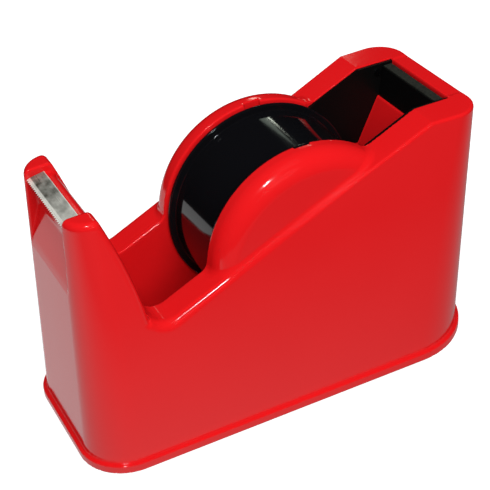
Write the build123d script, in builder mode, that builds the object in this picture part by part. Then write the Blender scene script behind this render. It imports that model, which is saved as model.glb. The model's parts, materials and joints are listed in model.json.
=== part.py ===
"""Desk tape dispenser for tape on a 76 mm core: weighted plastic body, lift-out reel, steel cutter.

Millimetres, +Z up, +X towards the back, blade end at -X, origin at the middle of the footprint.
"""
import math
import os

from build123d import *

os.makedirs("parts", exist_ok=True)

# ---- footprint and body form -----------------------------------------------------------------
base_length = 175.6
base_width = 77.2
front_corner_radius = 19.5
rear_corner_radius = 32.0
pad_proud = 0.6                # how far the rubber pad stands below the flange
flange_height = 3.6
flange_ledge = 1.8             # flange showing round the foot of the body
body_height = 107.4            # floor to the flat top at the back
front_lean = 6.0               # how far the front face leans back over the body's height
rear_lean = 1.2
rear_side_lean = 1.8           # the sides lean in, a little at the back and more at the front
front_side_lean = 8.7
front_top_radius = 9.5
rear_top_radius = 12.0
wall = 2.5
top_wall = 3.0                 # wall under the sloping edge, measured straight down
top_edge_round = 2.5

# ---- side profile ----------------------------------------------------------------------------
land_angle = 23.98             # slope of the straight upper edge, degrees
land_break_inset = 26.2        # from the back to where the slope meets the flat top
valley_inset = 32.1            # from the front to the corner behind the tower
valley_round = 8.0
ear_rear_inset = 18.6          # from the front to the rear top corner of the ears
ear_rear_bulge = 1.6
ear_drop = 0.3                 # ears below the flat top

# ---- reel well and reel ----------------------------------------------------------------------
well_width = 38.4
reel_forward = 47.63           # from the break of the upper edge to the reel's axis
reel_drop = 42.6               # from the flat top to the reel's axis
arch_radius = 42.0
arch_thickness = 11.6
arch_round = 7.0
drum_radius = 37.8             # carries a 76 mm core
reel_flange_radius = 40.75
reel_flange_thickness = 1.5
reel_side_gap = 0.6
drum_wall = 2.2
web_thickness = 2.0
web_inset = 3.1
hub_radius = 6.5
hub_inset = 2.0
plug_gap = 0.1                 # side flange's spigot in the drum
plug_length = 10.0
hub_split_gap = 0.2
well_gap = 6.85                # reel flange to the rounded floor of the well
ramp_angle = 63.0
ramp_foot_angle = 11.3         # place of the ramp's foot on the well's rounded floor, degrees
ramp_drop = 14.4               # ramp's top below the flat top
opening_rear_inset = 10.4      # from the back to the rear edge of the opening
well_front_inset = 30.6        # from the front to the cross wall, part of the way up
well_front_drop = 46.4
well_front_foot_inset = 34.8
cross_wall_inset = 21.9
cross_wall_drop = 10.8
cross_wall_shoulder = 3.0

# ---- axle ------------------------------------------------------------------------------------
axle_radius = 3.0
axle_running_gap = 0.05
bush_wall = 0.95
bush_length = 8.0
hub_bore_gap = 0.4
groove_depth = 1.5
groove_side_gap = 0.25
groove_end_gap = 0.2
saddle_wall = 3.0
saddle_height = 8.0
saddle_lip = 4.0
backing_width = 16.0
washer_thickness = 0.4
collar_thickness = 0.9
clip_thickness = 0.5
axle_ring_gap = 0.05
ring_radius = 5.0
clip_groove_radius = 2.5
axle_chamfer = 0.4
flange_edge_round = 0.5

# ---- tower and cutter blade ------------------------------------------------------------------
blade_thickness = 0.8
blade_side_gap = 0.2
blade_tip_inset = 7.95         # from the front to the teeth
blade_tip_drop = 4.2           # from the flat top to the teeth
blade_bend_length = 1.65
blade_bend_rise = 0.5
blade_flat_length = 5.7
blade_flat_rise = 1.0
blade_edge_share = 0.5         # thickness left at the teeth
tooth_count = 26
tooth_depth = 1.1
tooth_overcut = 0.2
recess_foot_inset = 5.3
recess_foot_drop = 32.9
recess_wall_inset = 11.5
recess_knee_drop = 15.8
seat_wall = 1.8
tab_width = 6.0
tab_length = 9.0
tab_spacing = 20.0
tab_slot_gap = 0.15
push_nut_width = 9.0
push_nut_depth = 2.4
push_nut_gap = 1.0
push_nut_thickness = 0.5

# ---- base plate, pad, ballast and screws -----------------------------------------------------
flange_wall = 2.2
plate_gap = 0.2
plate_thickness = 2.0
pad_thickness = 1.2
pad_border = 3.0
boss_radius = 3.6
boss_height = 24.0
boss_bite = 1.0                # how far a boss runs into the wall beside it
screw_radius = 1.5
screw_head_radius = 3.0
screw_head_height = 1.5
screw_length = 12.0
ballast_screw_length = 9.0
screw_hole_gap = 0.2
pilot_gap = 0.05
pad_hole_gap = 1.0
slab_thickness = 8.0
slab_front_inset = 39.8        # ends of the ballast, measured from the nearer end of the body
slab_rear_inset = 43.8
slab_side_inset = 12.1
rear_block_front_inset = 37.8
rear_block_rear_inset = 11.8
rear_block_side_inset = 19.1
rear_block_height = 24.0
front_block_front_inset = 8.3
front_block_rear_inset = 27.8
front_block_side_inset = 21.6
front_block_height = 34.0
ballast_screw_inset = 16.0     # from each end of the slab to its screw
foam_size = 20.0
ballast_chamfer = 1.0

# ---- pocket liner ----------------------------------------------------------------------------
liner_wall = 1.3
liner_reach = 23.6             # from the break of the upper edge forward to the liner's edge
liner_drop = 0.5               # liner edge below the land
ledge_drop = 1.9               # ledge below the flat top
ledge_depth = 4.8
ledge_front_lean = 1.7         # the liner's front face leans forward to its foot
strip_thickness = 0.5
strip_inset = 0.5
liner_gap = 0.1
liner_screw_forward = 7.0      # from the opening's rear edge to the screw
liner_screw_drop = 3.8
liner_screw_radius = 1.1
liner_screw_length = 6.0
liner_screw_head_radius = 1.5
liner_screw_head_height = 0.6
liner_boss_radius = 2.6

# ---- values worked out from the ones above ---------------------------------------------------
half_length = base_length / 2
half_width = base_width / 2
flange_top = pad_proud + flange_height
plate_bottom = pad_thickness
plate_top = plate_bottom + plate_thickness
half_well = well_width / 2
land_slope = math.tan(math.radians(land_angle))
land_break_x = half_length - land_break_inset
valley_x = valley_inset - half_length
valley_z = body_height - (land_break_x - valley_x) * land_slope
ear_rear_top = (ear_rear_inset - half_length, body_height - ear_drop)
reel_x = land_break_x - reel_forward
reel_z = body_height - reel_drop
opening_rear_x = half_length - opening_rear_inset
ramp_top_z = body_height - ramp_drop
well_front_top = (well_front_inset - half_length, body_height - well_front_drop)
well_front_foot_x = well_front_foot_inset - half_length
cross_wall_top = (cross_wall_inset - half_length, body_height - cross_wall_drop)
blade_tip = (blade_tip_inset - half_length, body_height - blade_tip_drop)
blade_bend = (blade_tip[0] + blade_bend_length, blade_tip[1] + blade_bend_rise)
blade_rear = (blade_bend[0] + blade_flat_length, blade_bend[1] + blade_flat_rise)
recess_foot = (recess_foot_inset - half_length, body_height - recess_foot_drop)
recess_wall_x = recess_wall_inset - half_length
recess_knee_z = body_height - recess_knee_drop
slab_front_x = slab_front_inset - half_length
slab_rear_x = half_length - slab_rear_inset
slab_half_width = half_width - slab_side_inset
rear_block_front_x = half_length - rear_block_front_inset
rear_block_rear_x = half_length - rear_block_rear_inset
rear_block_half_width = half_width - rear_block_side_inset
front_block_front_x = front_block_front_inset - half_length
front_block_rear_x = front_block_rear_inset - half_length
front_block_half_width = half_width - front_block_side_inset
ballast_screw_spacing = slab_rear_x - slab_front_x - 2 * ballast_screw_inset
liner_front_x = land_break_x - liner_reach
ledge_front_x = opening_rear_x - ledge_depth
liner_screw_x = opening_rear_x - liner_screw_forward
well_radius = reel_flange_radius + well_gap
well_floor_z = reel_z - well_radius
reel_half_width = half_well - reel_side_gap
drum_half_width = reel_half_width - reel_flange_thickness
drum_bore_radius = drum_radius - drum_wall
hub_end_y = reel_half_width - hub_inset
bush_bore_radius = axle_radius + axle_running_gap
bush_radius = bush_bore_radius + bush_wall
hub_bore_radius = axle_radius + hub_bore_gap
axle_half_length = half_well + groove_depth - groove_end_gap
groove_width = 2 * (axle_radius + groove_side_gap)
sky_z = body_height + 40
blade_half_width = half_well - blade_side_gap
blade_slope = math.atan2(blade_rear[1] - blade_bend[1], blade_rear[0] - blade_bend[0])
ledge_z = body_height - ledge_drop
liner_screw_z = body_height - liner_screw_drop
saddle_top_z = reel_z + saddle_lip
saddle_width = 2 * (axle_radius + saddle_wall)
foot_angle = math.radians(ramp_foot_angle)
ramp_foot = (
    reel_x + well_radius * math.cos(foot_angle),
    reel_z + well_radius * math.sin(foot_angle),
)
ramp_top_x = ramp_foot[0] + (ramp_top_z - ramp_foot[1]) / math.tan(math.radians(ramp_angle))

# corners of the room inside the foot of the shell, and the screw bosses set against its wall
room_inset = flange_ledge + wall
boss_reach = boss_radius - boss_bite
front_room_radius = front_corner_radius - room_inset
rear_room_radius = rear_corner_radius - room_inset
diagonal = math.sqrt(0.5)
front_boss = (
    -half_length + room_inset + front_room_radius - (front_room_radius - boss_reach) * diagonal,
    half_width - room_inset - front_room_radius + (front_room_radius - boss_reach) * diagonal,
)
middle_boss = (0, half_width - room_inset - boss_reach)
rear_boss = (
    half_length - room_inset - rear_room_radius + (rear_room_radius - boss_reach) * diagonal,
    half_width - room_inset - rear_room_radius + (rear_room_radius - boss_reach) * diagonal,
)
front_block_x = (front_block_front_x + front_block_rear_x) / 2
slab_x = (slab_front_x + slab_rear_x) / 2
rear_block_x = (rear_block_front_x + rear_block_rear_x) / 2
spigot_radius = drum_bore_radius - plug_gap
web_y = reel_half_width - web_inset
bush_foot_y = hub_end_y - bush_length
tab_places = [(blade_rear[0] - blade_thickness / 2, side * tab_spacing / 2) for side in (-1, 1)]


def land_height(x):
    """Height of the body's straight sloping upper edge at x, flat behind the break."""
    return body_height - max(land_break_x - x, 0) * land_slope


def rounded_outline(front_x, rear_x, front_half, rear_half, front_radius, rear_radius):
    """Plan outline with its own half width and corner radius at each end, for a BuildSketch."""
    Polygon(
        (front_x, -front_half),
        (rear_x, -rear_half),
        (rear_x, rear_half),
        (front_x, front_half),
        align=None,
    )
    fillet(vertices().group_by(Axis.X)[0], front_radius)
    fillet(vertices().group_by(Axis.X)[-1], rear_radius)


def base_outline(inset):
    """Footprint outline moved inwards by inset, for use inside a BuildSketch."""
    rounded_outline(
        inset - half_length,
        half_length - inset,
        half_width - inset,
        half_width - inset,
        front_corner_radius - inset,
        rear_corner_radius - inset,
    )


def body_outline(height, inset):
    """Plan outline of the leaning body at a height, moved inwards by inset."""
    share = (height - flange_top) / (body_height - flange_top)
    front_radius = front_corner_radius - flange_ledge
    rear_radius = rear_corner_radius - flange_ledge
    rounded_outline(
        -half_length + flange_ledge + share * front_lean + inset,
        half_length - flange_ledge - share * rear_lean - inset,
        half_width - flange_ledge - share * front_side_lean - inset,
        half_width - flange_ledge - share * rear_side_lean - inset,
        max(front_radius + share * (front_top_radius - front_radius) - inset, 0.5),
        max(rear_radius + share * (rear_top_radius - rear_radius) - inset, 0.5),
    )


def well_profile(grow):
    """Side profile of the open well as a face, moved outwards by grow."""
    radius = well_radius + grow
    foot = (reel_x + radius * math.cos(foot_angle), reel_z + radius * math.sin(foot_angle))
    top = (foot[0] + (ramp_top_z - grow - foot[1]) / math.tan(math.radians(ramp_angle)), ramp_top_z - grow)
    arc_angle = (foot_angle - math.pi / 2) / 2
    arc_middle = (reel_x + radius * math.cos(arc_angle), reel_z + radius * math.sin(arc_angle))
    with BuildSketch(Plane.XZ) as profile:
        with BuildLine():
            Polyline(
                (reel_x, reel_z - radius),
                (well_front_foot_x - grow, reel_z - radius),
                (well_front_top[0] - grow, well_front_top[1]),
                (cross_wall_top[0] - grow, cross_wall_top[1]),
                (cross_wall_top[0] - grow, sky_z),
                (opening_rear_x + grow, sky_z),
                (opening_rear_x + grow, ramp_top_z - grow),
                top,
                foot,
            )
            ThreePointArc(foot, arc_middle, (reel_x, reel_z - radius))
        make_face()
    return profile.sketch


def cheek_profile(grow):
    """Side profile of the liner's cheek as a face; grow opens it at the front and above."""
    with BuildSketch(Plane.XZ) as profile:
        with BuildLine():
            Polyline(
                (liner_front_x - grow, ramp_foot[1]),
                ramp_foot,
                (ramp_top_x, ramp_top_z),
                (opening_rear_x, ramp_top_z),
                (opening_rear_x, body_height - liner_drop),
                (land_break_x, body_height - liner_drop),
                (liner_front_x - grow, land_height(liner_front_x - grow) - liner_drop),
                close=True,
            )
        make_face()
        if grow:
            with BuildLine():
                Polyline(
                    (liner_front_x - grow, land_height(liner_front_x - grow) - liner_drop),
                    (land_break_x, body_height - liner_drop),
                    (opening_rear_x, body_height - liner_drop),
                    (opening_rear_x, sky_z),
                    (liner_front_x - grow, sky_z),
                    close=True,
                )
            make_face()
    return profile.sketch


def blade_underside(x):
    """Height of the blade seat under the blade's flat part at x."""
    return blade_rear[1] + (x - blade_rear[0]) * math.tan(blade_slope) - blade_thickness


seat_room_z = blade_underside(blade_rear[0] - blade_thickness) - seat_wall


def front_recess_profile(grow):
    """Side profile of the recess in the front face as a face, moved backwards by grow."""
    with BuildSketch(Plane.XZ) as profile:
        with BuildLine():
            Polyline(
                (-half_length, recess_foot[1] - grow),
                (recess_foot[0] + grow, recess_foot[1] - grow),
                (recess_wall_x + grow, recess_knee_z),
                (recess_wall_x + grow, sky_z),
                (-half_length, sky_z),
                close=True,
            )
        make_face()
    return profile.sketch


def above_seat_profile(drop):
    """Side profile of everything above the blade's seat as a face, lowered by drop."""
    with BuildSketch(Plane.XZ) as profile:
        with BuildLine():
            Polyline(
                (-half_length, blade_underside(-half_length) - drop),
                (blade_rear[0], blade_underside(blade_rear[0]) - drop),
                (cross_wall_top[0] - cross_wall_shoulder, cross_wall_top[1] + cross_wall_shoulder - drop),
                (cross_wall_top[0], cross_wall_top[1] - drop),
                (cross_wall_top[0], sky_z),
                (-half_length, sky_z),
                close=True,
            )
        make_face()
    return profile.sketch


def upper_side_edges(body_edges, front_x, rear_x, low_z):
    """The body's upper edges outside the well with their middles from front_x to rear_x, above low_z."""
    return [
        edge
        for edge in body_edges.filter_by_position(Axis.X, front_x, rear_x)
        if abs(edge.center().Y) > half_well
        and edge.center().Z > low_z
        and edge.bounding_box().min.Z > flange_top + wall
    ]


# ---- the body shell's outside ----------------------------------------------------------------
with BuildPart() as side_arch:
    with BuildSketch(Plane.XZ.offset(-half_well)):
        with Locations((reel_x, reel_z)):
            Circle(arch_radius)
    extrude(amount=-arch_thickness)
    fillet(edges().filter_by(GeomType.CIRCLE).sort_by(Axis.Y)[-1], arch_round)

with BuildPart() as side_arch_room:
    with BuildSketch(Plane.XZ.offset(-half_well - wall)):
        with Locations((reel_x, reel_z)):
            Circle(arch_radius - wall)
    extrude(amount=-(arch_thickness - 2 * wall))
    fillet(edges().filter_by(GeomType.CIRCLE).sort_by(Axis.Y)[-1], arch_round - wall)

with BuildPart() as below_upper_edge:
    with BuildSketch(Plane.XZ):
        with BuildLine():
            Polyline(
                (valley_x, valley_z),
                (land_break_x, body_height),
                (half_length, body_height),
                (half_length, 0),
                (-half_length, 0),
                (-half_length, ear_rear_top[1]),
                ear_rear_top,
            )
            ThreePointArc(
                ear_rear_top,
                ((ear_rear_top[0] + valley_x) / 2 + ear_rear_bulge, (ear_rear_top[1] + valley_z) / 2),
                (valley_x, valley_z),
            )
        make_face()
        fillet(vertices().sort_by_distance((valley_x, valley_z))[0], valley_round)
    extrude(amount=half_width, both=True)

with BuildPart() as leaning_body:
    with BuildSketch(Plane.XY.offset(flange_top)):
        body_outline(flange_top, 0)
    with BuildSketch(Plane.XY.offset(body_height)):
        body_outline(body_height, 0)
    loft(ruled=True)
    add(below_upper_edge.part, mode=Mode.INTERSECT)
    # the sloping edges, the valley and the ears' backs first, then the tops of the ears
    fillet(upper_side_edges(edges(), ear_rear_top[0], half_length, valley_z), top_edge_round)
    ear_top_z = ear_rear_top[1] - top_edge_round
    fillet(upper_side_edges(edges(), -half_length, ear_rear_top[0], ear_top_z), top_edge_round)

# ---- the body shell's inside -----------------------------------------------------------------
with BuildPart() as shell_room:
    with BuildSketch(Plane.XY.offset(plate_top)):
        body_outline(flange_top, wall)
    with BuildSketch(Plane.XY.offset(body_height)):
        body_outline(body_height, wall)
    loft(ruled=True)
    add(below_upper_edge.part.moved(Location((0, 0, -top_wall))), mode=Mode.INTERSECT)
    add(side_arch_room.part)
    mirror(side_arch_room.part, about=Plane.XZ)
    extrude(well_profile(wall), amount=half_well + wall, both=True, mode=Mode.SUBTRACT)
    extrude(front_recess_profile(seat_wall), amount=half_well + wall, both=True, mode=Mode.SUBTRACT)
    extrude(above_seat_profile(seat_wall), amount=half_well + wall, both=True, mode=Mode.SUBTRACT)
    with BuildSketch(Plane.XY.offset(reel_z - saddle_height - wall)):
        with Locations((reel_x, 0)):
            Rectangle(backing_width, 2 * (half_well + groove_depth + wall))
    extrude(amount=arch_radius + saddle_height + wall, mode=Mode.SUBTRACT)

boss_places = [
    (x, side * y)
    for x, y in (front_boss, middle_boss, rear_boss)
    for side in (-1, 1)
]

with BuildPart() as body_shell:
    with BuildSketch(Plane.XY.offset(pad_proud)):
        base_outline(0)
    extrude(amount=flange_height)
    add(leaning_body.part)
    add(side_arch.part)
    mirror(side_arch.part, about=Plane.XZ)
    extrude(well_profile(0), amount=half_well, both=True, mode=Mode.SUBTRACT)
    extrude(front_recess_profile(0), amount=half_well, both=True, mode=Mode.SUBTRACT)
    extrude(above_seat_profile(0), amount=half_well, both=True, mode=Mode.SUBTRACT)
    add(shell_room.part, mode=Mode.SUBTRACT)
    # rebate for the base plate and the pad
    with BuildSketch(Plane.XY.offset(pad_proud)):
        base_outline(flange_wall)
    extrude(amount=plate_top - pad_proud, mode=Mode.SUBTRACT)
    # bosses for the base screws
    with BuildSketch(Plane.XY.offset(plate_top)):
        with Locations(*boss_places):
            Circle(boss_radius)
    extrude(amount=boss_height)
    with BuildSketch(Plane.XY.offset(plate_top)):
        with Locations(*boss_places):
            Circle(screw_radius + pilot_gap)
    extrude(amount=screw_length, mode=Mode.SUBTRACT)
    # bosses for the liner screws, on the far side of the well's walls
    with BuildSketch(Plane.XZ.offset(-half_well - liner_wall)):
        with Locations((liner_screw_x, liner_screw_z)):
            Circle(liner_boss_radius)
    liner_boss = extrude(amount=-liner_screw_length)
    mirror(liner_boss, about=Plane.XZ)
    # grooves that the axle drops into, and the seats of the saddles at their feet
    with BuildSketch(Plane.XY.offset(saddle_top_z)):
        with Locations((reel_x, 0)):
            Rectangle(groove_width, 2 * (half_well + groove_depth))
    extrude(amount=sky_z - saddle_top_z, mode=Mode.SUBTRACT)
    with BuildSketch(Plane.XY.offset(reel_z - saddle_height)):
        with Locations((reel_x, 0)):
            Rectangle(saddle_width, 2 * (half_well + groove_depth))
    extrude(amount=saddle_top_z - reel_z + saddle_height, mode=Mode.SUBTRACT)
    # shallow recesses for the liner's cheeks
    cheek_reach = half_well + liner_wall + liner_gap
    extrude(cheek_profile(liner_gap), amount=cheek_reach, both=True, mode=Mode.SUBTRACT)
    with BuildSketch(Plane.XZ):
        with Locations((liner_screw_x, liner_screw_z)):
            Circle(liner_screw_radius + pilot_gap)
    extrude(amount=half_well + liner_screw_length, both=True, mode=Mode.SUBTRACT)
    # slots for the blade's tabs
    with BuildSketch(Plane.XY.offset(blade_rear[1] - blade_thickness - seat_wall * 2)):
        with Locations(*tab_places):
            Rectangle(blade_thickness + 2 * tab_slot_gap, tab_width + 2 * tab_slot_gap)
    extrude(amount=seat_wall * 3, mode=Mode.SUBTRACT)
body_shell.part.label = "body_shell"
export_step(body_shell.part, "parts/body_shell.step")


# ---- base plate, pad and their screws --------------------------------------------------------
def screws_from_below(places, length, grow=0.0):
    """Countersunk screws or, grown, their clearance holes, pointing up from the plate's underside."""
    with Locations(*[(x, y, plate_bottom) for x, y in places]):
        Cone(
            screw_head_radius + grow,
            screw_radius + grow,
            screw_head_height,
            align=(Align.CENTER, Align.CENTER, Align.MIN),
            mode=Mode.SUBTRACT if grow else Mode.ADD,
        )
        Cylinder(
            screw_radius + grow,
            length,
            align=(Align.CENTER, Align.CENTER, Align.MIN),
            mode=Mode.SUBTRACT if grow else Mode.ADD,
        )


ballast_screw_places = [
    (front_block_x, 0),
    (slab_x - ballast_screw_spacing / 2, 0),
    (slab_x + ballast_screw_spacing / 2, 0),
    (rear_block_x, 0),
]

with BuildPart() as base_plate:
    with BuildSketch(Plane.XY.offset(plate_bottom)):
        base_outline(flange_wall + plate_gap)
    extrude(amount=plate_thickness)
    screws_from_below(boss_places + ballast_screw_places, screw_length, screw_hole_gap)
base_plate.part.label = "base_plate"
export_step(base_plate.part, "parts/base_plate.step")

with BuildPart() as non_slip_pad:
    with BuildSketch(Plane.XY):
        base_outline(flange_wall + pad_border)
        with Locations(*boss_places):
            Circle(screw_head_radius + pad_hole_gap, mode=Mode.SUBTRACT)
    extrude(amount=pad_thickness)
non_slip_pad.part.label = "non_slip_pad"
export_step(non_slip_pad.part, "parts/non_slip_pad.step")

with BuildPart() as base_screws:
    screws_from_below(boss_places, screw_length)
base_screws.part.label = "base_screws"
export_step(base_screws.part, "parts/base_screws.step")

with BuildPart() as ballast_screws:
    screws_from_below(ballast_screw_places, ballast_screw_length)
ballast_screws.part.label = "ballast_screws"
export_step(ballast_screws.part, "parts/ballast_screws.step")


# ---- ballast ---------------------------------------------------------------------------------
def ballast_block(front_x, rear_x, half_breadth, height, name):
    """Iron block standing on the base plate, tapped from below for its screws."""
    with BuildPart() as block:
        with BuildSketch(Plane.XY.offset(plate_top)):
            with Locations(((front_x + rear_x) / 2, 0)):
                Rectangle(rear_x - front_x, 2 * half_breadth)
        extrude(amount=height)
        chamfer(block.edges().filter_by(Axis.Z), ballast_chamfer)
        screws = [place for place in ballast_screw_places if front_x < place[0] < rear_x]
        with Locations(*[(x, y, plate_top) for x, y in screws]):
            Cylinder(
                screw_radius + pilot_gap,
                2 * ballast_screw_length,
                mode=Mode.SUBTRACT,
            )
    block.part.label = name
    export_step(block.part, f"parts/{name}.step")
    return block


ballast_slab = ballast_block(slab_front_x, slab_rear_x, slab_half_width, slab_thickness, "ballast_slab")
front_ballast = ballast_block(
    front_block_front_x, front_block_rear_x, front_block_half_width, front_block_height, "front_ballast"
)
rear_ballast = ballast_block(
    rear_block_front_x, rear_block_rear_x, rear_block_half_width, rear_block_height, "rear_ballast"
)

with BuildPart() as foam_blocks:
    with BuildSketch(Plane.XY.offset(plate_top + slab_thickness)):
        with Locations((slab_x, 0)):
            with GridLocations(ballast_screw_spacing, 0, 2, 1):
                Rectangle(foam_size, foam_size)
    extrude(amount=well_floor_z - wall - plate_top - slab_thickness)
foam_blocks.part.label = "foam_blocks"
export_step(foam_blocks.part, "parts/foam_blocks.step")

# ---- cutter blade ----------------------------------------------------------------------------
with BuildPart() as cutter_blade:
    with BuildSketch(Plane.XZ):
        with BuildLine():
            Polyline(
                blade_tip,
                blade_bend,
                blade_rear,
                (blade_rear[0], blade_rear[1] - blade_thickness),
                (blade_bend[0], blade_bend[1] - blade_thickness),
                (blade_tip[0], blade_tip[1] - blade_thickness * blade_edge_share),
                close=True,
            )
        make_face()
    extrude(amount=blade_half_width, both=True)
    with BuildSketch(Plane.XY.offset(blade_rear[1] - blade_thickness - tab_length)):
        with Locations(*tab_places):
            Rectangle(blade_thickness, tab_width)
    extrude(amount=tab_length + blade_thickness / 2)
    tooth_pitch = 2 * blade_half_width / tooth_count
    with BuildSketch(Plane.XY.offset(blade_tip[1] - 2 * blade_thickness)):
        with Locations((blade_tip[0], 0)):
            with GridLocations(0, tooth_pitch, 1, tooth_count + 1):
                Polygon(
                    (-tooth_overcut, -tooth_pitch / 2),
                    (tooth_depth, 0),
                    (-tooth_overcut, tooth_pitch / 2),
                    align=None,
                )
    extrude(amount=4 * blade_thickness, mode=Mode.SUBTRACT)
cutter_blade.part.label = "cutter_blade"
export_step(cutter_blade.part, "parts/cutter_blade.step")

with BuildPart() as blade_push_nuts:
    with BuildSketch(Plane.XY.offset(seat_room_z - push_nut_gap - push_nut_thickness)):
        with Locations(*tab_places):
            Rectangle(push_nut_depth, push_nut_width)
            Rectangle(blade_thickness, tab_width, mode=Mode.SUBTRACT)
    extrude(amount=push_nut_thickness)
blade_push_nuts.part.label = "blade_push_nuts"
export_step(blade_push_nuts.part, "parts/blade_push_nuts.step")

# ---- liner of the rear pocket ----------------------------------------------------------------
with BuildPart() as pocket_liner:
    extrude(cheek_profile(0), amount=half_well + liner_wall, both=True)
    extrude(cheek_profile(liner_gap), amount=half_well, both=True, mode=Mode.SUBTRACT)
    with BuildSketch(Plane.XZ):
        with BuildLine():
            Polyline(
                (ledge_front_x, ledge_z),
                (opening_rear_x - liner_gap, ledge_z),
                (opening_rear_x - liner_gap, ledge_z - liner_wall),
                (ledge_front_x + liner_wall, ledge_z - liner_wall),
                (ledge_front_x + liner_wall - ledge_front_lean, ramp_top_z + liner_gap),
                (ledge_front_x - ledge_front_lean, ramp_top_z + liner_gap),
                close=True,
            )
        make_face()
    extrude(amount=half_well + liner_wall / 2, both=True)
    with BuildSketch(Plane.XZ):
        with Locations((liner_screw_x, liner_screw_z)):
            Circle(liner_screw_radius + pilot_gap)
    extrude(amount=half_width, both=True, mode=Mode.SUBTRACT)
pocket_liner.part.label = "pocket_liner"
export_step(pocket_liner.part, "parts/pocket_liner.step")

with BuildPart() as ledge_strip:
    strip_depth = opening_rear_x - ledge_front_x - liner_gap - 2 * strip_inset
    with BuildSketch(Plane.XY.offset(ledge_z)):
        with Locations(((ledge_front_x + opening_rear_x - liner_gap) / 2, 0)):
            Rectangle(strip_depth, 2 * (half_well - strip_inset))
    extrude(amount=strip_thickness)
ledge_strip.part.label = "ledge_strip"
export_step(ledge_strip.part, "parts/ledge_strip.step")

with BuildPart() as liner_screws:
    with BuildSketch(Plane.XZ.offset(-half_well + liner_screw_head_height)):
        with Locations((liner_screw_x, liner_screw_z)):
            Circle(liner_screw_head_radius)
    extrude(amount=-liner_screw_head_height)
    with BuildSketch(Plane.XZ.offset(-half_well)):
        with Locations((liner_screw_x, liner_screw_z)):
            Circle(liner_screw_radius)
    extrude(amount=-liner_screw_length)
    mirror(about=Plane.XZ)
liner_screws.part.label = "liner_screws"
export_step(liner_screws.part, "parts/liner_screws.step")


# ---- round parts on the axle -----------------------------------------------------------------
def ring(from_y, to_y, outer_radius, inner_radius=0.0):
    """Adds a ring about the reel's axis between two places along it."""
    with BuildSketch(Plane(origin=(reel_x, from_y, reel_z), x_dir=(1, 0, 0), z_dir=(0, 1, 0))) as section:
        Circle(outer_radius)
        if inner_radius:
            Circle(inner_radius, mode=Mode.SUBTRACT)
    extrude(section.sketch, amount=to_y - from_y)


def saddle(side, name):
    """Bearing saddle at the foot of one groove, open upwards so that the axle lifts out."""
    with BuildPart() as block:
        with BuildSketch(Plane.XY.offset(reel_z - saddle_height)):
            with Locations((reel_x, side * (half_well + groove_depth / 2))):
                Rectangle(saddle_width, groove_depth)
        extrude(amount=saddle_height + saddle_lip)
        with BuildSketch(Plane.XZ):
            with Locations((reel_x, reel_z)):
                Circle(bush_bore_radius)
            with Locations((reel_x, reel_z + saddle_height / 2)):
                Rectangle(2 * bush_bore_radius, saddle_height)
        extrude(amount=half_width, both=True, mode=Mode.SUBTRACT)
    block.part.label = name
    export_step(block.part, f"parts/{name}.step")
    return block


saddle_left = saddle(1, "saddle_left")
saddle_right = saddle(-1, "saddle_right")

with BuildPart() as reel_drum:
    ring(drum_half_width, reel_half_width, reel_flange_radius, drum_bore_radius)
    fillet(edges().filter_by(GeomType.CIRCLE).group_by(SortBy.RADIUS)[-1], flange_edge_round)
    ring(-drum_half_width, drum_half_width, drum_radius, drum_bore_radius)
    ring(web_y - web_thickness, web_y, drum_bore_radius, hub_radius)
    ring(bush_foot_y, hub_end_y, hub_radius, bush_radius)
    ring(-bush_foot_y + hub_split_gap, bush_foot_y, hub_radius, hub_bore_radius)
reel_drum.part.label = "reel_drum"
export_step(reel_drum.part, "parts/reel_drum.step")

with BuildPart() as reel_side_flange:
    ring(-reel_half_width, -drum_half_width, reel_flange_radius, spigot_radius - drum_wall)
    fillet(edges().filter_by(GeomType.CIRCLE).group_by(SortBy.RADIUS)[-1], flange_edge_round)
    ring(-drum_half_width, -drum_half_width + plug_length, spigot_radius, spigot_radius - drum_wall)
    ring(-web_y, -web_y + web_thickness, spigot_radius - drum_wall, hub_radius)
    ring(-hub_end_y, -bush_foot_y, hub_radius, bush_radius)
reel_side_flange.part.label = "reel_side_flange"
export_step(reel_side_flange.part, "parts/reel_side_flange.step")


def axle_ring(name, from_y, to_y, outer_radius, inner_radius):
    """A plain ring on the axle as a part of its own."""
    with BuildPart() as part:
        ring(from_y, to_y, outer_radius, inner_radius)
    part.part.label = name
    export_step(part.part, f"parts/{name}.step")
    return part


washer_y = hub_end_y + axle_ring_gap
collar_y = washer_y + washer_thickness + axle_ring_gap
clip_y = collar_y + collar_thickness + axle_ring_gap
for side, side_name in ((1, "left"), (-1, "right")):
    axle_ring(f"hub_bush_{side_name}", side * bush_foot_y, side * hub_end_y, bush_radius, bush_bore_radius)
    axle_ring(
        f"felt_washer_{side_name}",
        side * washer_y,
        side * (washer_y + washer_thickness),
        ring_radius,
        bush_bore_radius,
    )
    axle_ring(
        f"axle_collar_{side_name}",
        side * collar_y,
        side * (collar_y + collar_thickness),
        ring_radius,
        bush_bore_radius,
    )

with BuildPart() as clip_groove:
    ring(clip_y, clip_y + clip_thickness, ring_radius, clip_groove_radius)

with BuildPart() as axle_shaft:
    ring(-axle_half_length, axle_half_length, axle_radius)
    chamfer(edges().filter_by(GeomType.CIRCLE), axle_chamfer)
    add(clip_groove.part, mode=Mode.SUBTRACT)
    mirror(clip_groove.part, about=Plane.XZ, mode=Mode.SUBTRACT)
axle_shaft.part.label = "axle_shaft"
export_step(axle_shaft.part, "parts/axle_shaft.step")

with BuildPart() as axle_clips:
    add(clip_groove.part)
    with BuildSketch(Plane.XY.offset(reel_z)):
        with Locations((reel_x - ring_radius, 0)):
            Rectangle(2 * ring_radius, 2 * half_width)
    extrude(amount=clip_groove_radius, both=True, mode=Mode.SUBTRACT)
    mirror(about=Plane.XZ)
axle_clips.part.label = "axle_clips"
export_step(axle_clips.part, "parts/axle_clips.step")
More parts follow.
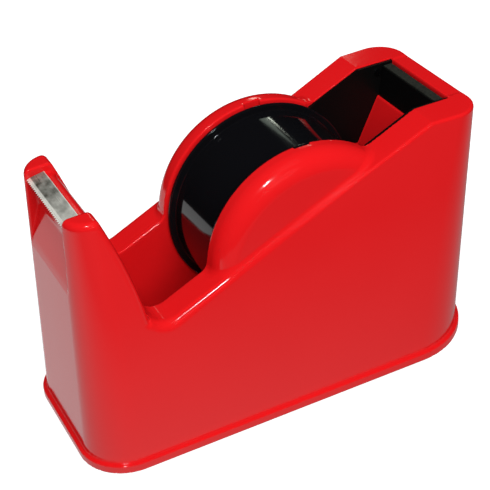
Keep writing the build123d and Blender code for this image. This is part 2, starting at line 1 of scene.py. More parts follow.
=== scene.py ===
"""Looks of the desk tape dispenser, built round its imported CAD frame.

The frame is in metres. Shapes are worked out in millimetres and scaled when they become meshes.
"""
import json
import math

import bpy
import numpy as np
from mathutils import Matrix, Vector


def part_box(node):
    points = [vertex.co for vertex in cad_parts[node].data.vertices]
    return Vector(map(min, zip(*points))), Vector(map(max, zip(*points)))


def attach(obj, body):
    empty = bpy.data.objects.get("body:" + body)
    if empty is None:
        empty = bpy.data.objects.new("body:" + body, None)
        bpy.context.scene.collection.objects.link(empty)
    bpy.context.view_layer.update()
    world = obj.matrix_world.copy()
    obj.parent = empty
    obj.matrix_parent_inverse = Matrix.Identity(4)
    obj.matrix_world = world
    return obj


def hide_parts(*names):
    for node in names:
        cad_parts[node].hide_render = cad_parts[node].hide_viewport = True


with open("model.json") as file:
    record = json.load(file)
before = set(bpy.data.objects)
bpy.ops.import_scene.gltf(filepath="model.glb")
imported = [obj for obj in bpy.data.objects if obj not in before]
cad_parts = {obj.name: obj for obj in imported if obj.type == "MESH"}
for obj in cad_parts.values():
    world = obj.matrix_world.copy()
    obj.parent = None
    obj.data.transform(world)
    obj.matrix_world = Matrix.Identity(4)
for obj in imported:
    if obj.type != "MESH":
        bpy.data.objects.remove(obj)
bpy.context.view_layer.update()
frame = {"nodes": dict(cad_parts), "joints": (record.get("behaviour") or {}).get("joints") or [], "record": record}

MM = 0.001


def cad_box(node):
    """Lowest and highest corner of a CAD node in millimetres."""
    low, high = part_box(node)
    return np.array(low) / MM, np.array(high) / MM


# ---- sizes taken from the frame, in millimetres ----------------------------------------------
shell_low, shell_high = cad_box("body_shell")
blade_low, blade_high = cad_box("cutter_blade")
liner_low, liner_high = cad_box("pocket_liner")
_, drum_high = cad_box("reel_drum")
_, plate_high = cad_box("base_plate")
spin = next(joint for joint in frame["joints"] if joint["name"] == "reel_spin")
reel_x, _, reel_z = (value / MM for value in spin["pos_m"])

half_length = shell_high[0]
half_width = shell_high[1]
foot_z = shell_low[2]
top_z = shell_high[2]

# ---- body form, in millimetres ---------------------------------------------------------------
front_corner = 19.5
rear_corner = 32.0
flange_height = 3.6
ledge = 1.8
front_lean, rear_lean = 6.0, 1.2
rear_side_lean, front_side_lean = 1.8, 8.7
front_top_corner, rear_top_corner = 9.5, 12.0
wall = 2.5
land_slope = math.tan(math.radians(23.98))
land_break_x = 61.6
half_well = 19.2
arch_radius = 42.0
arch_face = 30.8
arch_round = 8.0
arch_blend = 2.2
well_radius = 47.6
ramp_top = (70.3, 93.0)
liner_gap = 0.1
opening_rear_x = liner_high[0] + liner_gap
saddle_top_z = reel_z + 4.0
groove_half_width = 3.25
groove_depth = 1.5
seat_front = (-76.3, 102.3)
seat_rear = (-72.5, 103.9)
rebate_inset = 2.2
ear_rear_top = (-69.2, 107.1)
ear_rear_bulge = 1.6
ear_corner_round = 2.4
valley_x = -55.7
valley_round = 8.0
recess_foot = (-82.3, 75.5)
recess_knee = (-76.3, 91.6)
cross_wall_shoulder = (-69.3, 103.2)
cross_wall_top = (-65.3, 95.0)
cross_wall_middle = (-57.2, 61.0)
well_front_foot_x = -53.0
ramp_foot_angle = math.radians(11.3)
cheek_foot_x = 60.65
outer_x = 100.0                # past the body, where outlines close
under_z = -40.0
saddle_half_width = 6.0
backing_half_width = 8.0
backing_depth = 14.0


# ---- outlines and distances ------------------------------------------------------------------
def land_height(x):
    """Height of the straight sloping upper edge at x, level behind the break."""
    return top_z - np.maximum(land_break_x - x, 0) * land_slope


def rounded_path(corners, radii, steps=10):
    """Polygon whose corner i is replaced by an arc of radius i, tangent to both of its sides."""
    points = []
    count = len(corners)
    for i, radius in enumerate(radii):
        here = np.array(corners[i], float)
        back = np.array(corners[i - 1], float) - here
        ahead = np.array(corners[(i + 1) % count], float) - here
        if radius <= 0:
            points.append(here)
            continue
        back /= np.linalg.norm(back)
        ahead /= np.linalg.norm(ahead)
        half_angle = 0.5 * math.acos(float(np.clip(back @ ahead, -1, 1)))
        if half_angle > 1.56:
            points.append(here)
            continue
        centre = here + (back + ahead) / np.linalg.norm(back + ahead) * radius / math.sin(half_angle)
        start = here + back * radius / math.tan(half_angle) - centre
        end = here + ahead * radius / math.tan(half_angle) - centre
        sweep = math.atan2(start[0] * end[1] - start[1] * end[0], start @ end)
        for turn in np.linspace(0, sweep, steps):
            cos, sin = math.cos(turn), math.sin(turn)
            points.append(centre + (start[0] * cos - start[1] * sin, start[0] * sin + start[1] * cos))
    return np.array(points)


def polygon_distance(x, z, outline):
    """Distance from each point to the outline's nearest side, negative inside it."""
    near = np.full(np.broadcast(x, z).shape, np.inf)
    inside = np.zeros(near.shape, bool)
    for (ax, az), (bx, bz) in zip(outline, np.roll(outline, -1, axis=0)):
        dx, dz = bx - ax, bz - az
        length = dx * dx + dz * dz
        if length < 1e-12:
            continue
        along = np.clip(((x - ax) * dx + (z - az) * dz) / length, 0, 1)
        near = np.minimum(near, (x - ax - along * dx) ** 2 + (z - az - along * dz) ** 2)
        if dz:
            crosses = (z >= min(az, bz)) & (z < max(az, bz)) & (x < ax + (z - az) * dx / dz)
            inside ^= crosses
    return np.where(inside, -np.sqrt(near), np.sqrt(near))


def plan_distance(x, y, front, rear, breadth, front_radius, rear_radius):
    """Distance to a plan rectangle with its own corner radius at each end."""
    middle = (front + rear) / 2
    radius = np.where(x < middle, front_radius, rear_radius)
    over_x = np.abs(x - middle) - (rear - front) / 2 + radius
    over_y = np.abs(y) - breadth + radius
    outside = np.hypot(np.maximum(over_x, 0), np.maximum(over_y, 0))
    return outside + np.minimum(np.maximum(over_x, over_y), 0) - radius


def meet(a, b, radius):
    """Both shapes at once, with the edge between them rounded to the radius."""
    rounded = np.hypot(np.maximum(a + radius, 0), np.maximum(b + radius, 0))
    return np.minimum(np.maximum(a, b), -radius) + rounded


def join(a, b, radius):
    """Either shape, with a fillet of the radius in the corner between them."""
    return -meet(-a, -b, radius)


def cut(a, b, radius):
    """The first shape without the second, with the edge rounded to the radius."""
    return meet(a, -b, radius)


def ear_back(count=9):
    """Rear edge of the ears: a shallow arc from their top down to the valley, bulging backwards."""
    top = np.array(ear_rear_top)
    foot = np.array([valley_x, land_height(valley_x)])
    share = np.linspace(0, 1, count)[:, None]
    bulge = ear_rear_bulge * np.sin(np.pi * share)
    return top + (foot - top) * share + np.array([1.0, 0.26]) * bulge


def side_outline():
    """Side view of the two side walls: ears, valley, straight slope and level rear top."""
    back = ear_back()
    corners = [
        (-outer_x, 106.0),
        *back.tolist(),
        (land_break_x, top_z),
        (outer_x, top_z),
        (outer_x, under_z),
        (-outer_x, under_z),
    ]
    radii = [0, ear_corner_round, *[0] * (len(back) - 2), valley_round, 0.5, 0, 0, 0]
    return rounded_path(corners, radii)


def middle_outline():
    """Side view of what stands between the ears and the well's walls: cross wall, floor, ramp."""
    arc = np.linspace(-math.pi / 2, ramp_foot_angle, 24)
    floor = [(reel_x + well_radius * math.cos(a), reel_z + well_radius * math.sin(a)) for a in arc]
    corners = [
        (-outer_x, recess_foot[1]),
        recess_foot,
        recess_knee,
        seat_front,
        seat_rear,
        cross_wall_shoulder,
        cross_wall_top,
        cross_wall_middle,
        (well_front_foot_x, reel_z - well_radius),
        *floor,
        ramp_top,
        (opening_rear_x, ramp_top[1]),
        (opening_rear_x, top_z),
        (outer_x, top_z),
        (outer_x, under_z),
        (-outer_x, under_z),
    ]
    radii = [0, 1.5, 3.0, 0.4, 0.3, 3.0, 6.0, 30.0, 6.0, *[0] * len(floor), 0.8, 0.4, 0, 0, 0, 0]
    return rounded_path(corners, radii)


def cheek_outline():
    """Side view of the shallow recess that holds one cheek of the liner."""
    return np.array([
        (liner_low[0] - liner_gap, liner_low[2]),
        (cheek_foot_x, liner_low[2]),
        ramp_top,
        (opening_rear_x, ramp_top[1]),
        (opening_rear_x, top_z + 20),
        (liner_low[0] - liner_gap, top_z + 20),
    ])


SIDE, MIDDLE, CHEEK = side_outline(), middle_outline(), cheek_outline()


def body_outside(x, y, z):
    """The red body without its base: leaning plan form, topped by the side view, with the arches."""
    share = np.clip((z - foot_z - flange_height) / (top_z - foot_z - flange_height), -0.05, 1.05)
    front = -half_length + ledge + share * front_lean
    rear = half_length - ledge - share * rear_lean
    narrowing = share * (front_side_lean - rear_side_lean) * (rear - x) / (rear - front)
    plan = plan_distance(
        x,
        np.abs(y) + narrowing,
        front,
        rear,
        half_width - ledge - share * rear_side_lean,
        front_corner - ledge + share * (front_top_corner - front_corner + ledge),
        rear_corner - ledge + share * (rear_top_corner - rear_corner + ledge),
    )
    edge_round = 2.4 + 1.2 * np.clip((x + 72) / 18, 0, 1) - 2.4 * np.clip((x + 50) / 80, 0, 1)
    form = meet(plan, polygon_distance(x, z, SIDE), edge_round)
    disc = np.hypot(x - reel_x, z - reel_z) - arch_radius
    arch = meet(disc, np.abs(y) - arch_face, arch_round)
    form = join(form, arch, arch_blend)
    return cut(form, well_distance(x, y, z), 0.8)


def well_distance(x, y, z):
    """The emptied space between the side walls: above the middle outline, inside the walls."""
    return meet(-polygon_distance(x, z, MIDDLE), np.abs(y) - half_well, 0.6)


def flange_distance(x, y, z):
    """The flange round the foot of the body, with its edges just broken."""
    plan = plan_distance(x, y, -half_length, half_length, half_width, front_corner, rear_corner)
    slab = np.abs(z - foot_z - flange_height / 2) - flange_height / 2
    return meet(plan, slab, 0.5)


def small_cuts(x, y, z):
    """Axle grooves, saddle seats and liner recesses in the well's walls, as one space."""
    reach = np.abs(y) - half_well - groove_depth
    groove = np.maximum(np.maximum(np.abs(x - reel_x) - groove_half_width, saddle_top_z - z), reach)
    below_top = np.abs(z - saddle_top_z + saddle_half_width) - saddle_half_width
    block = np.maximum(np.abs(x - reel_x) - saddle_half_width, below_top)
    seat = np.maximum(block, reach)
    cheek = np.maximum(polygon_distance(x, z, CHEEK), np.abs(y) - half_well - 1.4)
    return np.minimum(np.minimum(groove, seat), cheek)


def shell_distance(x, y, z):
    """The red shell: outside form and flange, hollowed to its wall from the open bottom."""
    body = body_outside(x, y, z)
    above_floor = np.maximum(body, foot_z + 1.0 - z)
    outside = join(above_floor, flange_distance(x, y, z), 0.6)
    outside = cut(outside, small_cuts(x, y, z), 0.25)
    room = np.maximum(body + wall, plate_high[2] - 0.01 - z)
    across_walls = np.abs(y) - half_well - groove_depth - wall
    backing = np.maximum(np.abs(x - reel_x) - backing_half_width, across_walls)
    room = np.maximum(room, -np.maximum(backing, reel_z - backing_depth - z))
    rebate_plan = plan_distance(
        x,
        y,
        rebate_inset - half_length,
        half_length - rebate_inset,
        half_width - rebate_inset,
        front_corner - rebate_inset,
        rear_corner - rebate_inset,
    )
    rebate = np.maximum(rebate_plan, z - plate_high[2])
    return np.maximum(outside, -np.minimum(room, rebate))


# ---- from a distance to a mesh ---------------------------------------------------------------
def slope_of(distance, points, step=0.02):
    """Gradient of a distance at each point, by central differences."""
    parts = []
    for axis in range(3):
        offset = np.zeros(3)
        offset[axis] = step
        ahead, behind = points + offset, points - offset
        parts.append(distance(*ahead.T) - distance(*behind.T))
    return np.stack(parts, axis=1) / (2 * step)


def surface_net(distance, low, high, pitch):
    """Surface where the distance is zero, on a grid of cells of the pitch.

    Each cell that the surface crosses gets one point, at the mean of its crossed edges, and each
    crossed grid edge gets one quad between the four cells round it. The points are then moved
    onto the surface along the distance's gradient.
    """
    counts = np.ceil((np.array(high) - low) / pitch).astype(int) + 1
    axes = [low[a] + pitch * np.arange(counts[a]) for a in range(3)]
    x, y, z = (axes[0][:, None, None], axes[1][None, :, None], axes[2][None, None, :])
    field = np.ascontiguousarray(np.broadcast_to(distance(x, y, z), counts)).astype(np.float32)
    solid = field < 0
    cells = counts - 1
    total = np.zeros((*cells, 3), np.float32)
    hits = np.zeros(cells, np.int32)
    crossings = []
    for axis in range(3):
        here = [slice(None)] * 3
        ahead = [slice(None)] * 3
        here[axis], ahead[axis] = slice(None, -1), slice(1, None)
        f0, f1 = field[tuple(here)], field[tuple(ahead)]
        crossed = solid[tuple(here)] != solid[tuple(ahead)]
        crossings.append(np.argwhere(crossed))
        share = np.where(crossed, f0 / np.where(crossed, f0 - f1, 1), 0)
        u, v = (axis + 1) % 3, (axis + 2) % 3
        for du in (0, 1):
            for dv in (0, 1):
                part = [slice(None)] * 3
                part[u] = slice(du, du + cells[u])
                part[v] = slice(dv, dv + cells[v])
                mask, along = crossed[tuple(part)], share[tuple(part)]
                hits += mask
                total[..., axis] += along
                total[..., u] += du * mask
                total[..., v] += dv * mask
    used = hits > 0
    index = np.full(cells, -1, np.int64)
    index[used] = np.arange(used.sum())
    points = low + pitch * (np.argwhere(used) + total[used] / hits[used][:, None])
    quads = []
    for axis, edge in enumerate(crossings):
        u, v = (axis + 1) % 3, (axis + 2) % 3
        inner = (edge[:, u] > 0) & (edge[:, v] > 0) & (edge[:, u] < cells[u]) & (edge[:, v] < cells[v])
        edge = edge[inner]
        ring = []
        for du, dv in ((1, 1), (0, 1), (0, 0), (1, 0)):
            cell = edge.copy()
            cell[:, u] -= du
            cell[:, v] -= dv
            ring.append(index[tuple(cell.T)])
        quad = np.stack(ring, axis=1)
        inward = ~solid[tuple(edge.T)]
        quad[inward] = quad[inward][:, ::-1]
        quads.append(quad)
    quads = np.concatenate(quads)
    for _ in range(3):
        value = distance(*points.T)
        slope = slope_of(distance, points)
        size = np.maximum((slope ** 2).sum(1), 0.25)
        move = (value / size)[:, None] * slope
        far = np.maximum(np.linalg.norm(move, axis=1) / (0.45 * pitch), 1)
        points = points - move / far[:, None]
    return points, quads


# ---- making pieces ---------------------------------------------------------------------------
def piece(name, points, faces, material, smooth=True):
    """Mesh object from points in millimetres and faces, with its finish."""
    mesh = bpy.data.meshes.new(name)
    mesh.from_pydata((np.asarray(points) * MM).tolist(), [], np.asarray(faces).tolist())
    mesh.validate()
    mesh.polygons.foreach_set("use_smooth", np.full(len(mesh.polygons), smooth))
    mesh.materials.append(material)
    thing = bpy.data.objects.new(name, mesh)
    bpy.context.scene.collection.objects.link(thing)
    return thing


def thinned(thing, share):
    """The piece with its mesh collapsed to a share of its faces, most of them left on the curves."""
    collapse = thing.modifiers.new("collapse", "DECIMATE")
    collapse.ratio = share
    bpy.context.view_layer.update()
    graph = bpy.context.evaluated_depsgraph_get()
    mesh = bpy.data.meshes.new_from_object(thing.evaluated_get(graph))
    thing.modifiers.clear()
    thing.data = mesh
    return thing


def true_normals(thing, distance, step=0.2):
    """Gives each point the normal of the surface that the mesh was taken from."""
    mesh = thing.data
    points = np.empty(len(mesh.vertices) * 3)
    mesh.vertices.foreach_get("co", points)
    slope = slope_of(distance, points.reshape(-1, 3) / MM, step)
    slope /= np.linalg.norm(slope, axis=1, keepdims=True)
    mesh.normals_split_custom_set_from_vertices(slope.tolist())


def turned(name, corners, radii, material, around=160, steps=5):
    """Surface of revolution about the reel's axis.

    The outline's corners are (radius, place along the axis). Each outline point at each angle a
    becomes (reel x + radius sin a, place, reel z + radius cos a), closed both ways.
    """
    outline = rounded_path(corners, radii, steps)
    angles = np.linspace(0, 2 * math.pi, around, endpoint=False)
    radius, place = outline[:, 0], outline[:, 1]
    x = reel_x + np.outer(np.sin(angles), radius)
    z = reel_z + np.outer(np.cos(angles), radius)
    y = np.broadcast_to(place, x.shape)
    count = len(outline)
    ring, step = np.meshgrid(np.arange(around), np.arange(count), indexing="ij")
    next_ring, next_step = (ring + 1) % around, (step + 1) % count
    faces = np.stack([
        ring * count + step,
        next_ring * count + step,
        next_ring * count + next_step,
        ring * count + next_step,
    ], axis=-1).reshape(-1, 4)
    area = 0.5 * np.sum(radius * np.roll(place, -1) - np.roll(radius, -1) * place)
    if area < 0:
        faces = faces[:, ::-1]
    thing = piece(name, np.stack([x, y, z], axis=-1).reshape(-1, 3), faces, material)
    flats = thing.modifiers.new("flats", "WEIGHTED_NORMAL")
    flats.mode = "FACE_AREA"
    flats.weight = 100
    return thing


# ---- finishes --------------------------------------------------------------------------------
def finish(name, color, rough, metal=0.0):
    """Empty node material with a Principled shader; returns it, its nodes, its links and the shader."""
    material = bpy.data.materials.new(name)
    material.use_nodes = True
    nodes, links = material.node_tree.nodes, material.node_tree.links
    shader = nodes["Principled BSDF"]
    shader.inputs["Base Color"].default_value = (*color, 1)
    shader.inputs["Roughness"].default_value = rough
    shader.inputs["Metallic"].default_value = metal
    return material, nodes, links, shader


def grain(nodes, links, scale, detail=3.0, stretch=(1, 1, 1)):
    """Noise in the object's own coordinates, drawn out by the stretch."""
    place = nodes.new("ShaderNodeTexCoord")
    turn = nodes.new("ShaderNodeMapping")
    turn.inputs["Scale"].default_value = stretch
    noise = nodes.new("ShaderNodeTexNoise")
    noise.inputs["Scale"].default_value = scale
    noise.inputs["Detail"].default_value = detail
    links.new(place.outputs["Object"], turn.inputs["Vector"])
    links.new(turn.outputs["Vector"], noise.inputs["Vector"])
    return noise.outputs["Fac"]


def spread(nodes, links, value, low, high, start=0.3, end=0.7):
    """Value from start to end mapped to low to high, kept within them."""
    ramp = nodes.new("ShaderNodeMapRange")
    for socket, number in (("From Min", start), ("From Max", end), ("To Min", low), ("To Max", high)):
        ramp.inputs[socket].default_value = number
    links.new(value, ramp.inputs["Value"])
    return ramp.outputs["Result"]


def tint(nodes, links, value, low, high):
    """Colour between low and high by value."""
    mix = nodes.new("ShaderNodeMix")
    mix.data_type = "RGBA"
    mix.inputs[6].default_value = (*low, 1)
    mix.inputs[7].default_value = (*high, 1)
    links.new(value, mix.inputs["Factor"])
    return mix.outputs[2]


def combined(nodes, links, first, second, operation):
    """The operation on a value and on another value or a plain number."""
    step = nodes.new("ShaderNodeMath")
    step.operation = operation
    links.new(first, step.inputs[0])
    if isinstance(second, float):
        step.inputs[1].default_value = second
    else:
        links.new(second, step.inputs[1])
    return step.outputs["Value"]


def relief(nodes, links, shader, value, height, strength=1.0):
    """Bump of the given height in metres from value."""
    bump = nodes.new("ShaderNodeBump")
    bump.inputs["Distance"].default_value = height
    bump.inputs["Strength"].default_value = strength
    links.new(value, bump.inputs["Height"])
    links.new(bump.outputs["Normal"], shader.inputs["Normal"])


def red_plastic():
    """Glossy moulded red: a little uneven in depth and gloss, with faint moulding ripple."""
    material, nodes, links, shader = finish("moulded_red", (0.72, 0.008, 0.010), 0.2)
    cloud = grain(nodes, links, 18, 2)
    red = tint(nodes, links, cloud, (0.70, 0.007, 0.009), (0.76, 0.010, 0.012))
    links.new(red, shader.inputs["Base Color"])
    links.new(spread(nodes, links, cloud, 0.11, 0.15), shader.inputs["Roughness"])
    relief(nodes, links, shader, grain(nodes, links, 260, 2), 0.00004, 0.5)
    shader.inputs["IOR"].default_value = 1.5
    return material


def polished_black():
    """Black moulding with a high gloss and hairline rubs from the tape cores."""
    material, nodes, links, shader = finish("polished_black", (0.004, 0.004, 0.005), 0.05)
    rubs = grain(nodes, links, 30, 4, (8, 1, 8))
    links.new(spread(nodes, links, rubs, 0.07, 0.11), shader.inputs["Roughness"])
    relief(nodes, links, shader, grain(nodes, links, 90, 2), 0.00003, 0.3)
    return material


def satin_black():
    """Black liner moulding with a satin skin and fine spark texture."""
    material, nodes, links, shader = finish("satin_black", (0.003, 0.003, 0.003), 0.35)
    links.new(spread(nodes, links, grain(nodes, links, 60, 3), 0.3, 0.42), shader.inputs["Roughness"])
    shader.inputs["Specular IOR Level"].default_value = 0.15
    relief(nodes, links, shader, grain(nodes, links, 1800, 2), 0.00003, 0.6)
    return material


def ledge_rubber():
    """Dull dark grey rubber with a fine grain."""
    material, nodes, links, shader = finish("ledge_rubber", (0.02, 0.022, 0.018), 0.7)
    cloud = grain(nodes, links, 900, 4)
    grey = tint(nodes, links, cloud, (0.004, 0.005, 0.004), (0.035, 0.038, 0.03))
    links.new(grey, shader.inputs["Base Color"])
    shader.inputs["Specular IOR Level"].default_value = 0.2
    relief(nodes, links, shader, grain(nodes, links, 2500, 2), 0.00005, 0.6)
    return material


blade_middle = 75.5            # how far the middle of the blade's flat lies in front of the origin


def mottled_steel_painted_sheen():
    """Rolled blade steel: blotched, with a painted reflection brightening it towards -Y and painted highlights
    along both long edges, scratched lengthwise.
    """
    material, nodes, links, shader = finish("mottled_steel_painted_sheen", (0.6, 0.6, 0.57), 0.35, 0.4)
    blotch = grain(nodes, links, 380, 6, (1, 0.6, 1))
    place = nodes.new("ShaderNodeTexCoord")
    parts = nodes.new("ShaderNodeSeparateXYZ")
    links.new(place.outputs["Object"], parts.inputs["Vector"])
    from_middle = combined(nodes, links, parts.outputs["X"], blade_middle * MM, "ADD")
    from_middle = combined(nodes, links, from_middle, 0.0, "ABSOLUTE")
    # Random blotches plus a painted reflection: the base colour is made brighter towards -Y, where the real blade
    # catches light.
    blotch_and_painted_sheen = combined(
        nodes,
        links,
        spread(nodes, links, blotch, 0.0, 0.4),
        spread(nodes, links, parts.outputs["Y"], 0.5, 0.0, -0.016, 0.006),
        "ADD",
    )
    # Painted highlights: the base colour is made brighter along the rear edge and the lip, beyond 2.5 mm from the
    # middle of the flat.
    blotch_and_painted_sheen = combined(nodes, links, blotch_and_painted_sheen, spread(nodes, links, from_middle, 0.0, 0.7, 0.0025, 0.0029), "ADD")
    links.new(tint(nodes, links, blotch_and_painted_sheen, (0.05, 0.05, 0.035), (1.0, 1.0, 0.9)), shader.inputs["Base Color"])
    lines = grain(nodes, links, 120, 6, (12, 0.4, 12))
    links.new(spread(nodes, links, lines, 0.22, 0.5), shader.inputs["Roughness"])
    relief(nodes, links, shader, lines, 0.00003, 0.5)
    return material


def metal(name, color, rough, scale, height):
    """Metal with a fine grain in its colour, gloss and surface."""
    material, nodes, links, shader = finish(name, color, rough, 1.0)
    cloud = grain(nodes, links, scale, 4)
    darker = tuple(0.7 * part for part in color)
    links.new(tint(nodes, links, cloud, darker, color), shader.inputs["Base Color"])
    links.new(spread(nodes, links, cloud, rough * 0.75, rough * 1.25), shader.inputs["Roughness"])
    relief(nodes, links, shader, cloud, height, 0.6)
    return material


def plain(name, color, rough, scale, height):
    """Plastic, rubber, foam or felt with a grain in its colour and surface."""
    material, nodes, links, shader = finish(name, color, rough)
    cloud = grain(nodes, links, scale, 4)
    darker = tuple(0.65 * part for part in color)
    links.new(tint(nodes, links, cloud, darker, color), shader.inputs["Base Color"])
    relief(nodes, links, shader, cloud, height, 0.8)
    return material


finishes = {
    "red_shell": red_plastic(),
    "gloss_black": polished_black(),
    "black_liner": satin_black(),
    "ledge_rubber": ledge_rubber(),
    "blade_steel": mottled_steel_painted_sheen(),
    "axle_steel": metal("turned_steel", (0.6, 0.6, 0.6), 0.25, 300, 0.00002),
    "zinc_screw": metal("bright_zinc", (0.72, 0.74, 0.8), 0.2, 200, 0.00002),
    "cast_ballast": metal("cast_iron", (0.16, 0.15, 0.14), 0.6, 700, 0.0002),
    "grey_foam": plain("grey_foam", (0.2, 0.2, 0.2), 0.9, 900, 0.0004),
    "black_plate": plain("plate_plastic", (0.03, 0.03, 0.03), 0.5, 1500, 0.00005),
    "pad_rubber": plain("pad_rubber", (0.04, 0.04, 0.04), 0.8, 1200, 0.0001),
    "white_nylon": plain("white_nylon", (0.75, 0.74, 0.7), 0.4, 500, 0.00002),
    "washer_felt": plain("washer_felt", (0.35, 0.34, 0.32), 0.95, 2500, 0.0001),
    "bush_brass": metal("turned_brass", (0.7, 0.5, 0.2), 0.3, 300, 0.00002),
}
for subpart in frame["record"]["subparts"]:
    node = frame["nodes"][subpart["node"]]
    node.data.materials.clear()
    node.data.materials.append(finishes[subpart["material_slot"]])


# ---- body shell ------------------------------------------------------------------------------
pitch = 0.8
points, faces = surface_net(shell_distance, shell_low - 1.3, shell_high + 1.3, pitch)
body = piece("body_shell_surface", points, faces, finishes["red_shell"])
thinned(body, min(1.0, 190000 / (2 * len(faces))))
true_normals(body, shell_distance)
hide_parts("body_shell")
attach(body, "housing")

# ---- reel ------------------------------------------------------------------------------------
drum_radius = 37.8
drum_bore = 35.6
rim_radius = drum_high[2] - reel_z
rim_y = drum_high[1]
rim_thickness = 1.5
web_far, web_near = 15.5, 13.5
hub_radius, bush_radius, shaft_room = 6.5, 4.0, 3.4
hub_end, bush_foot = 16.6, 8.6
drum = turned(
    "reel_drum_surface",
    [
        (rim_radius, rim_y),
        (rim_radius, rim_y - rim_thickness),
        (drum_radius, rim_y - rim_thickness),
        (drum_radius, rim_thickness - rim_y),
        (drum_bore, rim_thickness - rim_y),
        (drum_bore, web_near),
        (hub_radius, web_near),
        (hub_radius, 0.2 - bush_foot),
        (shaft_room, 0.2 - bush_foot),
        (shaft_room, bush_foot),
        (bush_radius, bush_foot),
        (bush_radius, hub_end),
        (hub_radius, hub_end),
        (hub_radius, web_far),
        (drum_bore, web_far),
        (drum_bore, rim_y),
    ],
    [0.6, 0.6, 0.4, 0.1, 0.1, 0.4, 0.4, 0.1, 0.1, 0, 0, 0.2, 0.2, 0.4, 0.4, 0.3],
    finishes["gloss_black"],
)
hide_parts("reel_drum")
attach(drum, "reel")
spigot = drum_bore - 0.1
side_flange = turned(
    "reel_side_flange_surface",
    [
        (rim_radius, -rim_y),
        (rim_radius, rim_thickness - rim_y),
        (spigot, rim_thickness - rim_y),
        (spigot, rim_thickness - rim_y + 10.0),
        (spigot - 2.2, rim_thickness - rim_y + 10.0),
        (spigot - 2.2, -web_near),
        (hub_radius, -web_near),
        (hub_radius, -bush_foot),
        (bush_radius, -bush_foot),
        (bush_radius, -hub_end),
        (hub_radius, -hub_end),
        (hub_radius, -web_far),
        (spigot - 2.2, -web_far),
        (spigot - 2.2, -rim_y),
    ],
    [0.6, 0.6, 0.1, 0.3, 0.3, 0.4, 0.4, 0.1, 0.1, 0.2, 0.2, 0.4, 0.4, 0.3],
    finishes["gloss_black"],
)
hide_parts("reel_side_flange")
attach(side_flange, "reel")

# ---- cutter blade ----------------------------------------------------------------------------
def blade_sheet():
    """Bent steel strip with teeth.

    The top face is a grid of places across the width and steps along the side profile: rear edge,
    flat, fold and sloping lip. The last step is drawn back by a triangle wave that gives the
    teeth. The underside is the same grid a thickness lower, thinned to an edge at the teeth, and
    a closed ring of sides joins them.
    """
    teeth, per_tooth, tooth_depth = 26, 6, 0.6
    flat_length, flat_rise, bend_rise = 5.7, 1.0, 0.5
    half = blade_high[1]
    y = np.linspace(-half, half, teeth * per_tooth + 1)
    wave = np.abs((np.arange(len(y)) / per_tooth + 0.5) % 1.0 - 0.5) * 2
    rear, tip_x = blade_high[0], blade_low[0]
    rear_z, fold_x = blade_high[2], rear - flat_length
    fold_z = rear_z - flat_rise
    tip_z = fold_z - bend_rise
    profile = np.array([
        (rear, rear_z - 0.12),
        (rear - 0.12, rear_z - 0.02),
        (rear - 2.8, rear_z - 0.49),
        (fold_x + 0.35, fold_z + 0.05),
        (fold_x, fold_z - 0.03),
        (fold_x - 0.4, fold_z - 0.17),
        (tip_x + 1.05, tip_z + 0.17),
        (tip_x, tip_z),
    ])
    x = np.broadcast_to(profile[:, 0], (len(y), len(profile))).copy()
    z = np.broadcast_to(profile[:, 1], x.shape).copy()
    back = tooth_depth * (1 - wave)
    x[:, -1] += back
    z[:, -1] += back * 0.16
    depth = np.array([0.56, 0.78, 0.8, 0.8, 0.8, 0.76, 0.42, 0.06])
    top = np.stack([x, np.broadcast_to(y[:, None], x.shape), z], axis=-1)
    bottom = top - np.stack([0 * x, 0 * x, np.broadcast_to(depth, x.shape)], axis=-1)
    section = np.concatenate([top, bottom[:, ::-1]], axis=1)
    count = section.shape[1]
    row, step = np.meshgrid(np.arange(len(y) - 1), np.arange(count), indexing="ij")
    ahead = (step + 1) % count
    sides = np.stack([row * count + step, row * count + ahead, (row + 1) * count + ahead,
                      (row + 1) * count + step], axis=-1).reshape(-1, 4)
    half_count = count // 2
    pair = np.arange(half_count - 1)
    near = np.stack([pair, count - 1 - pair, count - 2 - pair, pair + 1], axis=-1)
    far = near[:, ::-1] + (len(y) - 1) * count
    return section.reshape(-1, 3), np.concatenate([sides, near, far])


points, faces = blade_sheet()
blade = piece("cutter_blade_surface", points, faces, finishes["blade_steel"], smooth=False)
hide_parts("cutter_blade")
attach(blade, "housing")

# ---- camera ----------------------------------------------------------------------------------
camera_data = bpy.data.cameras.new("camera")
camera_data.lens = 97.4
camera_data.sensor_width = 36.0
camera_data.shift_x = 0.059
camera_data.shift_y = -0.0064
camera_data.clip_start = 0.01
camera_data.clip_end = 20.0
camera = bpy.data.objects.new("camera", camera_data)
bpy.context.scene.collection.objects.link(camera)
turn, lift, roll = math.radians(-22.93), math.radians(33.8), math.radians(-5.37)
back = Vector((math.sin(turn) * math.cos(lift), -math.cos(turn) * math.cos(lift), math.sin(lift)))
across = Vector((0, 0, 1)).cross(back).normalized()
upward = back.cross(across)
right = math.cos(roll) * across + math.sin(roll) * upward
top = math.cos(roll) * upward - math.sin(roll) * across
aim = Vector((0.02183, 0.08675, -0.00003))
stand = aim + 0.62768 * back
camera.matrix_world = Matrix((
    (right.x, top.x, back.x, stand.x),
    (right.y, top.y, back.y, stand.y),
    (right.z, top.z, back.z, stand.z),
    (0, 0, 0, 1),
))
bpy.context.scene.camera = camera


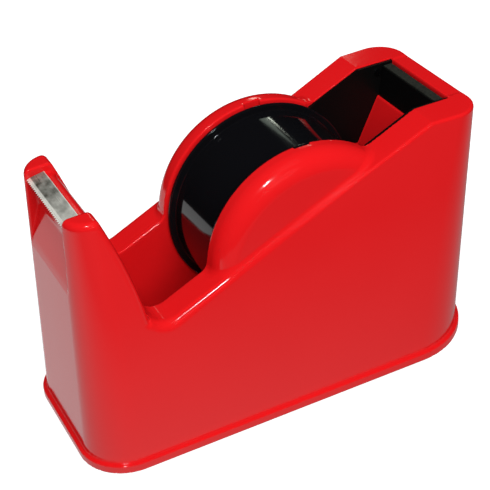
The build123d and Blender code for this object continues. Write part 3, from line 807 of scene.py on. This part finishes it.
# ---- floor and light -------------------------------------------------------------------------
def sheet(name, half, height, material):
    """Flat square grid of the half width at the height, as part of the room."""
    side = np.linspace(-half, half, 9)
    x, y = np.meshgrid(side, side, indexing="ij")
    z = np.full(x.shape, height)
    count = len(side)
    row, column = np.meshgrid(np.arange(count - 1), np.arange(count - 1), indexing="ij")
    corner = (row * count + column).ravel()
    faces = np.stack([corner, corner + count, corner + count + 1, corner + 1], axis=1)
    mesh = bpy.data.meshes.new(name)
    mesh.from_pydata(np.stack([x, y, z], axis=-1).reshape(-1, 3).tolist(), [], faces.tolist())
    mesh.materials.append(material)
    thing = bpy.data.objects.new(name, mesh)
    bpy.context.scene.collection.objects.link(thing)
    return thing


def pale_floor():
    """White floor, a little bright in itself so that shadows on it stay light."""
    material, nodes, links, shader = finish("pale_floor", (0.85, 0.85, 0.85), 0.9)
    shader.inputs["Specular IOR Level"].default_value = 0.0
    shader.inputs["Emission Color"].default_value = (1, 1, 1, 1)
    shader.inputs["Emission Strength"].default_value = 0.6
    return material


def bright_card():
    """Card that only gloss sees: bright to the left and behind, dimmer in front and to the right."""
    material, nodes, links, shader = finish("bright_card", (0, 0, 0), 1.0)
    shader.inputs["Specular IOR Level"].default_value = 0.0
    shader.inputs["Emission Color"].default_value = (1, 1, 1, 1)
    place = nodes.new("ShaderNodeTexCoord")
    parts = nodes.new("ShaderNodeSeparateXYZ")
    links.new(place.outputs["Object"], parts.inputs["Vector"])
    front = spread(nodes, links, parts.outputs["Y"], 0.15, 0.58, -0.16, -0.03)
    side = spread(nodes, links, parts.outputs["X"], 1.35, 0.6, -0.09, 0.08)
    links.new(combined(nodes, links, front, side, "MULTIPLY"), shader.inputs["Emission Strength"])
    return material


def lamp(name, place, size, radiance, color=(1, 1, 1), in_gloss=True, along=(0, 0, 1)):
    """Rectangular light of a radiance, at a place in metres, facing the middle of the body."""
    data = bpy.data.lights.new(name, "AREA")
    data.shape = "RECTANGLE"
    data.size, data.size_y = size
    data.energy = radiance * math.pi * size[0] * size[1]
    data.color = color
    place = Vector(place)
    out = (place - Vector((0, 0, 0.06))).normalized()
    long = Vector(along)
    long = (long - long.dot(out) * out).normalized()
    third = out.cross(long)
    thing = bpy.data.objects.new(name, data)
    thing.matrix_world = Matrix((
        (long.x, third.x, out.x, place.x),
        (long.y, third.y, out.y, place.y),
        (long.z, third.z, out.z, place.z),
        (0, 0, 0, 1),
    ))
    thing.visible_glossy = in_gloss
    bpy.context.scene.collection.objects.link(thing)


def way(azimuth, elevation, distance):
    """Place at an azimuth from -Y, an elevation and a distance from the middle of the body."""
    turn, lift = math.radians(azimuth), math.radians(elevation)
    level = math.cos(lift) * distance
    return (math.sin(turn) * level, -math.cos(turn) * level, 0.06 + math.sin(lift) * distance)


floor = sheet("floor", 4.0, 0.0, pale_floor())
floor.visible_glossy = floor.visible_diffuse = False
card = sheet("gloss_card", 0.32, -0.0005, bright_card())
card.visible_camera = card.visible_diffuse = card.visible_shadow = False
world = bpy.data.worlds.new("room")
world.use_nodes = True
world.node_tree.nodes["Background"].inputs["Color"].default_value = (1, 1, 1, 1)
world.node_tree.nodes["Background"].inputs["Strength"].default_value = 0.35
world.cycles_visibility.glossy = False
world.cycles_visibility.camera = True
bpy.context.scene.world = world
bpy.context.scene.view_settings.view_transform = "Standard"
bpy.context.scene.view_settings.look = "None"
lamp("front_soft", way(-6, 40, 0.95), (0.5, 0.5), 7.6, in_gloss=False)
lamp("top_soft", way(0, 80, 1.1), (0.5, 0.5), 2.0, in_gloss=False)
lamp("small_lamp", way(-38, 57, 1.3), (0.09, 0.09), 160, (0.93, 0.96, 1.0))
lamp("window_pane", (0.59, 1.165, 0.765), (0.12, 0.10), 1.0, (0.85, 1.0, 0.85), along=(1, 0, 0))
lamp("window_sill", (0.63, 1.165, 0.703), (0.14, 0.02), 12, (0.93, 1.0, 0.85), along=(1, 0, 0.05))
